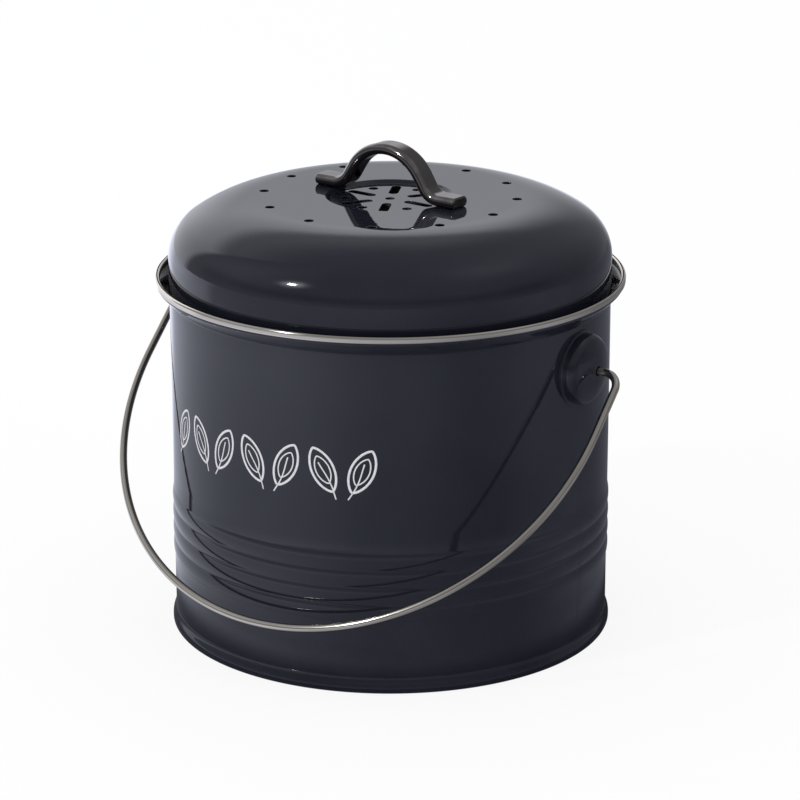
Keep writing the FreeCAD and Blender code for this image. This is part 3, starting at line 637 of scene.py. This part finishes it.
def ventSheet(middle, zone, radialSteps, core):
    # one sector with one vent: rings run from the vent's edge to the sector's border, away from the vent's core line
    near, far = zone
    half = pi / lid["sectors"]
    arc = np.linspace(-half, half, lid["stepsPerSector"] + 1)
    out = np.linspace(near, far, radialSteps + 1)
    radius = np.concatenate([np.full(len(arc) - 1, far), out[:0:-1], np.full(len(arc) - 1, near), out[:-1]])
    angle = np.concatenate([arc[:-1], np.full(radialSteps, half), arc[:0:-1], np.full(radialSteps, -half)])
    border = np.stack([radius * np.cos(angle), radius * np.sin(angle)], -1)
    spine = np.stack([np.clip(border[:, 0], *core), 0 * angle], -1)
    away = border - spine
    distance = np.linalg.norm(away, axis=1)
    away = away / distance[:, None]
    beyond, share, drop = edgeRings()
    start = lid["hole"] + beyond
    gap = start + share * (distance - start)
    flat = spine[None] + gap[..., None] * away[None]
    height = lidHeight(np.linalg.norm(flat, axis=-1)) + drop
    points = np.concatenate([flat, height[..., None]], -1).reshape(-1, 3)
    return turned(points, np.degrees(middle)), gridFaces(len(beyond), len(radius), False, True)


def centreSheet(angles):
    # the round vent in the middle, as rings about the axis
    beyond, share, drop = edgeRings()
    start = lid["hole"] + beyond
    radius = start + share * (lid["innerZone"][0] - start)
    return revolve(np.concatenate([radius, lidHeight(radius) + drop], 1), angles, False)


def makeLid():
    sheet = lid["sheet"]
    angles = fullTurn(lid["sectors"] * lid["stepsPerSector"])
    sector = 2 * pi / lid["sectors"]
    slotCore = (lid["slotFrom"] + lid["hole"], lid["slotTo"] - lid["hole"])
    grids = [centreSheet(angles)]
    for k in range(lid["sectors"]):
        core = slotCore if k % 2 == 0 else (lid["innerCircle"], lid["innerCircle"])
        grids.append(ventSheet(k * sector, lid["innerZone"], lid["innerSteps"], core))
        grids.append(ventSheet(k * sector, lid["outerZone"], lid["outerSteps"], (lid["outerCircle"],) * 2))
    floorHeight = lidTop - lid["recessDepth"]
    recess = roundedLine([(lid["innerZone"][1], floorHeight), (lid["recessFloor"], floorHeight, lid["recessRound"]),
                          (lid["recessTop"], lidTop, lid["recessRound"]), (lid["outerZone"][0], lidTop)], perArc=8)
    grids.append(revolve(recess, angles, False))
    grids.append(revolve(recess[::-1] - [0, sheet], angles, False))
    # shoulder: large arc from the plateau, small arc into the upright side, then the hem and the same line back inside
    large, small = lid["shoulderLarge"], lid["shoulderSmall"]
    largeMiddle = (lid["plateau"], lidTop - large)
    smallX = lidRadius - small
    meetCosine = (smallX - lid["plateau"]) / (large - small)
    meet = np.degrees(np.arccos(meetCosine))
    smallMiddle = (smallX, largeMiddle[1] + (large - small) * np.sin(np.radians(meet)))
    start = np.degrees(np.arccos((lid["outerZone"][1] - lid["plateau"]) / large))
    side = np.linspace(0, 1, 8)[:, None] ** 1.4
    hemZ = lidLow[2] + sheet
    outer = np.concatenate([arcPoints(largeMiddle, large, start, meet, 16),
                            arcPoints(smallMiddle, small, meet, 0, 22)[1:],
                            (np.array([[lidRadius, smallMiddle[1]]]) * (1 - side) + [lidRadius, hemZ] * side)[1:]])
    hem = np.concatenate([arcPoints((lidRadius - sheet, hemZ), sheet, 0, -180, 13)[1:],
                          [[lidRadius - 2 * sheet, hemZ + 1.0]],
                          arcPoints((lidRadius - 1.5 * sheet, hemZ + lid["hemUp"] - sheet / 2), sheet / 2, 180, 90, 6)])
    inner = np.concatenate([[[lidRadius - sheet, hemZ + lid["hemUp"] + 0.05]],
                            arcPoints(smallMiddle, small - sheet, 0, meet, 18),
                            arcPoints(largeMiddle, large - sheet, meet, start, 12)[1:-1],
                            [[lid["outerZone"][1], lidHeight(lid["outerZone"][1]) - sheet]]])
    grids.append(revolve(np.concatenate([outer, hem, inner]), angles, False))
    points, quads = joinGrids(*grids)
    makePiece("lid_pressing", (turned(points, lid["turn"]), quads), "lid", enamel, ["lid_shell"])


makeLid()


# Handle on the lid

handle = {"halfWidth": 5.0, "thick": 4.5, "edge": 2.15, "endRound": 0.8, "footEnd": 35.4, "footBend": (21.758, 8.25),
          "crown": (37.07, 19.75), "edgeSteps": 9}


def makeHandle():
    # a strap with rounded edges carried along foot, bend, bow, bend, foot
    half, edge = handle["thick"] / 2, handle["edge"]
    bendX, bendRadius = handle["footBend"]
    crownZ, crownRadius = handle["crown"]
    line = roundedLine([(-handle["footEnd"], half), (-bendX, half, bendRadius), (0, crownZ, crownRadius),
                        (bendX, half, bendRadius), (handle["footEnd"], half)], perArc=26, support=0.6)
    path = np.stack([line[:, 0], 0 * line[:, 0], line[:, 1] + lidTop], -1)
    path = turned(path, lid["turn"])
    across = turned(np.array([[0, 1.0, 0]]), lid["turn"])[0]
    coreX, coreZ = handle["halfWidth"] - edge, half - edge
    t = np.linspace(0, pi / 2, handle["edgeSteps"])
    core, outward = [], []
    for k, (sx, sz) in enumerate(((1, 1), (-1, 1), (-1, -1), (1, -1))):
        arc = t + k * pi / 2
        core.append(np.repeat([[sx * coreX, sz * coreZ]], len(t), 0))
        outward.append(np.stack([np.cos(arc), np.sin(arc)], -1))
        # a point beside each end of a flat side keeps its shading flat
        run = np.array([[-0.3, 0], [0, -0.8 * coreZ], [0.3, 0], [0, 0.8 * coreZ]][k])
        core.append([[sx * coreX, sz * coreZ] + run])
        outward.append(outward[-1][-1:])
        nextSpot = np.array([[-1, 1], [-1, -1], [1, -1], [1, 1]][k]) * [coreX, coreZ]
        core.append([nextSpot - run])
        outward.append(outward[-1])
    core, outward = np.concatenate(core), np.concatenate(outward)
    grid, length = sweep(path, across, core, outward, edge, handle["endRound"])
    # wear is full where the section faces out at 45 degrees
    wear = np.tile(np.exp(-((np.abs(outward).min(1) - 0.707) / 0.35) ** 2), len(length))
    makePiece("handle_bow", grid, "lid", gunmetal, ["lid_handle"], {"wear": wear})


makeHandle()


# Charcoal filter

filterPad = {"edge": 2.2, "crown": 0.35, "lumps": 0.12, "columns": 240}


def makeFilter():
    # a felt disc with a rounded edge, faint lumps from a product of two wavy sines of x and y, and faces that fall
    # a little towards the edge
    low, high = boxOf("filter_disc")
    reach, edge = high[0] - 0.1, filterPad["edge"]
    bottom, top = low[2] + 0.05, high[2] - 0.05
    run = np.linspace(0, 1, 26)[:-1, None] * (reach - edge - 0.3)
    over = np.concatenate([np.concatenate([run, 0 * run + top], 1),
                           arcPoints((reach - edge, top - edge), edge, 90, 0, 9)])
    under = np.concatenate([arcPoints((reach - edge, bottom + edge), edge, 0, -90, 9),
                            np.concatenate([run[::-1], 0 * run + bottom], 1)])
    points, quads = revolve(np.concatenate([over, under]), fullTurn(filterPad["columns"]), False)
    x, y = points[:, 0], points[:, 1]
    inward = 1 - smoothStep(np.hypot(x, y) / reach)
    lumps = np.sin(x / 3.1 + 1.3 * np.sin(y / 5.3)) * np.sin(y / 3.7 + 0.9 * np.sin(x / 4.1))
    side = np.where(points[:, 2] > (top + bottom) / 2, 1.0, -1.0)
    points[:, 2] -= side * filterPad["lumps"] * (1 + lumps) * (np.hypot(x, y) < reach - edge)
    points[:, 2] -= side * filterPad["crown"] * (1 - inward) * 0.5
    piece = makePiece("filter_felt", (points, quads), "filter", charcoalFelt, ["filter_disc"])


makeFilter()


# Printed leaves on the front

leafPrint = {"count": 7, "length": 19.0, "width": 4.6, "tilt": 25.0, "pitch": 15.7, "middle": -4.0, "height": 92.0,
             "stroke": 0.95, "innerStroke": 0.55, "innerScale": 0.62, "under": 0.02, "proud": 0.05, "point": 0.45}


def ribbon(line, stroke, closed):
    # a flat closed strip along a line on the wall: width across the line, a twentieth of a millimetre proud
    ahead = np.roll(line, -1, 0) - np.roll(line, 1, 0)
    if not closed:
        ahead[0], ahead[-1] = line[1] - line[0], line[-1] - line[-2]
    ahead = ahead / np.linalg.norm(ahead, axis=1)[:, None]
    across = ahead[:, ::-1] * [-1, 1] * stroke / 2
    sides = np.stack([line - across, line + across, line + across, line - across])
    radius = wallRadius + np.array([-leafPrint["under"]] * 2 + [leafPrint["proud"]] * 2)[:, None]
    if not closed:
        sides = np.concatenate([line[None, :1].repeat(4, 0), sides, line[None, -1:].repeat(4, 0)], 1)
    angle = radians(leafPrint["middle"]) + sides[..., 0] / wallRadius - pi / 2
    points = np.stack([radius * np.cos(angle), radius * np.sin(angle), leafPrint["height"] + sides[..., 1]], -1)
    return points.reshape(-1, 3), gridFaces(4, sides.shape[1], True, closed)


def makeLeaves():
    # leaf outline: x = -length/2 cos t, y = width sin t |sin t|^point; a smaller one inside it and a rib along it
    t = fullTurn(96)
    outline = np.stack([-np.cos(t) / 2 * leafPrint["length"],
                        leafPrint["width"] * np.sin(t) * np.abs(np.sin(t)) ** leafPrint["point"]], -1)
    ribX = np.linspace(-0.68, 0.18, 14) * leafPrint["length"]
    rib = np.stack([ribX, 0.6 * np.sin(ribX / leafPrint["length"] * 5)], -1)
    grids = []
    for k in range(leafPrint["count"]):
        lean = radians(90 - leafPrint["tilt"] * (-1) ** k)
        turn = np.array([[np.cos(lean), np.sin(lean)], [-np.sin(lean), np.cos(lean)]])
        shift = [(k - (leafPrint["count"] - 1) / 2) * leafPrint["pitch"], 0]
        grids.append(ribbon(outline @ turn + shift, leafPrint["stroke"], True))
        grids.append(ribbon((outline * leafPrint["innerScale"]) @ turn + shift, leafPrint["innerStroke"], True))
        grids.append(ribbon(rib @ turn + shift, leafPrint["innerStroke"], False))
    makePiece("leaf_print", joinGrids(*grids), "bin", whiteInk)


makeLeaves()


# Finishes of the CAD pieces that stay

cadFinish = {
    "handle_screw_left": zinc, "handle_screw_right": zinc, "handle_washer_left": zinc, "handle_washer_right": zinc,
    "filter_frame": blackPlastic, "filter_holder": blackPlastic,
}
for node, finish in cadFinish.items():
    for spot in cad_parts[node].material_slots:
        spot.material = finish


# Floor, studio and camera

view = {"place": (0.6884, -1.0601, 0.5011), "azimuth": 33.0, "down": 17.897, "roll": -0.118, "lens": 144.747,
        "sensor": 36.0, "shiftX": 0.01205, "shiftY": -0.001}
studio = {"floorReach": 6.0, "floorWhite": 0.94, "floorLift": 0.86, "light": 0.95, "domeRadius": 2.4,
          "domeTint": (0.97, 0.985, 1.05), "cardTint": (0.93, 0.96, 1.12), "cardHeight": 0.0004}
lampLook = {"energy": 6.0, "size": 0.12, "azimuth": -23.7, "lift": 39.4, "away": 2.0, "halo": (6, 5), "haloGlow": 5.0}
# azimuth and lift, width both ways and strength of each soft light or shade in the mirrored room
roomSpots = (((-56, 38), (26, 26), 0.22), ((125, 62), (42, 14), 0.25), ((140, 8), (38, 18), -0.10),
             ((-15, 3), (35, 6), 0.12))


def emissionFinish(name, attribute, tint):
    material = bpy.data.materials.new(name)
    material.use_nodes = True
    tree = material.node_tree
    tree.nodes.clear()
    glow = addNode(tree, "ShaderNodeAttribute", {"attribute_name": attribute}).outputs["Fac"]
    shine = addNode(tree, "ShaderNodeEmission", Strength=glow, Color=(*tint, 1))
    out = addNode(tree, "ShaderNodeOutputMaterial")
    tree.links.new(shine.outputs[0], out.inputs["Surface"])
    return material


def stageMesh(name, points, quads, finish, glow=None):
    mesh = bpy.data.meshes.new(name)
    mesh.from_pydata(points.tolist(), [], quads.tolist())
    if glow is not None:
        layer = mesh.attributes.new("glow", "FLOAT", "POINT")
        layer.data.foreach_set("value", glow.astype(np.float32))
    mesh.materials.append(finish)
    made = bpy.data.objects.new(name, mesh)
    bpy.context.scene.collection.objects.link(made)
    return made


def onlyReflected(made):
    made.visible_camera = False
    made.visible_diffuse = False
    made.visible_shadow = False
    made.visible_transmission = False


def backgroundRay(tree):
    # 1 for rays from the camera and for reflected and transmitted ones
    path = addNode(tree, "ShaderNodeLightPath")
    seen = path.outputs["Is Camera Ray"]
    for label in ("Is Glossy Ray", "Is Transmission Ray"):
        larger = addNode(tree, "ShaderNodeMath", {"operation": "MAXIMUM"})
        tree.links.new(seen, larger.inputs[0])
        tree.links.new(path.outputs[label], larger.inputs[1])
        seen = larger.outputs[0]
    return seen


def makeFloor():
    # matt white, lifted towards plain white where the camera sees it, so that the shadow stays but is soft
    material, tree, shader = startFinish("floor_white")
    shader.inputs["Base Color"].default_value = (studio["floorWhite"],) * 3 + (1,)
    shader.inputs["Roughness"].default_value = 0.9
    seen = spread(tree, backgroundRay(tree), 0, 1, 0, studio["floorLift"])
    plain = addNode(tree, "ShaderNodeEmission", Strength=1.0)
    both = addNode(tree, "ShaderNodeMixShader", Fac=seen)
    tree.links.new(shader.outputs[0], both.inputs[1])
    tree.links.new(plain.outputs[0], both.inputs[2])
    tree.links.new(both.outputs[0], tree.nodes["Material Output"].inputs["Surface"])
    reach = studio["floorReach"]
    corners = np.array([[-reach, -reach, 0], [reach, -reach, 0], [reach, reach, 0], [-reach, reach, 0]])
    stageMesh("floor", corners, np.array([[0, 1, 2, 3]]), material)


def makeWorld():
    # white to the camera and to reflections, a plain light level to everything else
    world = bpy.data.worlds.new("studio_white")
    world.use_nodes = True
    bpy.context.scene.world = world
    tree = world.node_tree
    background = tree.nodes["Background"]
    background.inputs["Color"].default_value = (1, 1, 1, 1)
    tree.links.new(spread(tree, backgroundRay(tree), 0, 1, studio["light"], 1.0), background.inputs["Strength"])


def softSpot(azimuth, lift, middle, width, strength):
    # a round light that fades as exp(-(distance / width)^2), all in degrees
    turn = (azimuth - middle[0] + 180) % 360 - 180
    return strength * np.exp(-(turn / width[0]) ** 2 - ((lift - middle[1]) / width[1]) ** 2)


def makeDome():
    # what the enamel mirrors: a grey room with soft lights, a dark stretch low in front and a pale backdrop behind
    azimuth = np.radians(np.arange(-180, 181, 2.0))        # from the front, -Y, towards +X
    lift = np.radians(np.arange(0, 91, 2.0))
    az, el = np.meshgrid(azimuth, lift)
    points = studio["domeRadius"] * np.stack([np.sin(az) * np.cos(el), -np.cos(az) * np.cos(el), np.sin(el)], -1)
    azD, elD = np.degrees(az), np.degrees(el)
    room = 0.27 + sum(softSpot(azD, elD, *spot) for spot in roomSpots)
    room -= 0.14 * smoothStep((azD + 84) / 16) * smoothStep((130 - azD) / 20) * np.exp(-((elD - 15) / 9) ** 2)
    room += softSpot(azD, elD, (lampLook["azimuth"], lampLook["lift"]), lampLook["halo"], lampLook["haloGlow"])
    behind = smoothStep((azD + 172) / 20) * smoothStep((-89 - azD) / 8)
    backdrop = behind * smoothStep((44 - elD) / 10)
    level = 0.40 + 0.45 * np.maximum(smoothStep((elD - 14) / 14), smoothStep((azD + 142) / 16))
    glow = room + backdrop * level + 0.22 * behind * np.exp(-((elD - 48) / 12) ** 2)
    finish = emissionFinish("dome_glow", "glow", studio["domeTint"])
    made = stageMesh("studio_dome", points.reshape(-1, 3), gridFaces(*az.shape), finish, glow.ravel())
    onlyReflected(made)


def makeFloorCard():
    # the floor as the wall mirrors it: pale to the left, dim to the right, dimmer in front beyond half a metre and
    # dark at the foot of the bin, where the bin's shadow is painted in
    azimuth = np.radians(np.arange(-180, 181, 3.0))
    reach = np.array([0.08, 0.10, 0.105, 0.11, 0.115, 0.12, 0.15, 0.2, 0.3, 0.4,
                      0.48, 0.53, 0.59, 0.65, 0.8, 1.2, 1.6, 2.4])
    az, r = np.meshgrid(azimuth, reach)
    points = np.stack([np.sin(az) * r, -np.cos(az) * r, 0 * r + studio["cardHeight"]], -1)
    azD = np.degrees(az)
    front = smoothStep((150 - np.abs(azD)) / 60)
    left = smoothStep((35 - azD) / 60) * smoothStep((azD + 168) / 40)
    glow = (0.18 + 0.27 * front + 0.5 * left) * (0.76 + 0.24 * smoothStep((r - 0.3) / 0.18))
    glow += 0.3 * left * smoothStep((-70 - azD) / 30) * smoothStep((r - 0.55) / 0.35)
    glow -= 0.45 * left * smoothStep((azD + 72) / 10) * smoothStep((r - 0.52) / 0.08)
    glow -= 0.18 * np.exp(-((azD - 75) / 30) ** 2)
    glow += 0.55 * smoothStep((azD + 176) / 20) * smoothStep((-106 - azD) / 14)
    # painted shadow of the bin: the glow falls to 0.15 close to its foot
    glow *= 0.15 + 0.85 * smoothStep((r - 0.1) / 0.022)
    finish = emissionFinish("card_glow", "glow", studio["cardTint"])
    made = stageMesh("floor_card", points.reshape(-1, 3), gridFaces(*az.shape), finish, glow.ravel())
    onlyReflected(made)


def makeLamp():
    lampData = bpy.data.lights.new("window_lamp", "AREA")
    lampData.energy, lampData.size = lampLook["energy"], lampLook["size"]
    lamp = bpy.data.objects.new("window_lamp", lampData)
    az, el = radians(lampLook["azimuth"]), radians(lampLook["lift"])
    lamp.matrix_world = (Matrix.Rotation(az, 4, "Z") @ Matrix.Rotation(pi / 2 - el, 4, "X")
                         @ Matrix.Translation((0, 0, lampLook["away"])))
    bpy.context.scene.collection.objects.link(lamp)


def makeCamera():
    data = bpy.data.cameras.new("photo_view")
    data.lens = view["lens"]
    data.sensor_width = view["sensor"]
    data.shift_x, data.shift_y = view["shiftX"], view["shiftY"]
    camera = bpy.data.objects.new("photo_view", data)
    camera.matrix_world = (Matrix.Translation(view["place"]) @ Matrix.Rotation(radians(view["azimuth"]), 4, "Z")
                           @ Matrix.Rotation(radians(90 - view["down"]), 4, "X")
                           @ Matrix.Rotation(radians(view["roll"]), 4, "Z"))
    bpy.context.scene.collection.objects.link(camera)
    bpy.context.scene.camera = camera


makeFloor()
makeWorld()
makeDome()
makeFloorCard()
makeLamp()
makeCamera()
bpy.context.scene.view_settings.view_transform = "Standard"
print("studio ready")
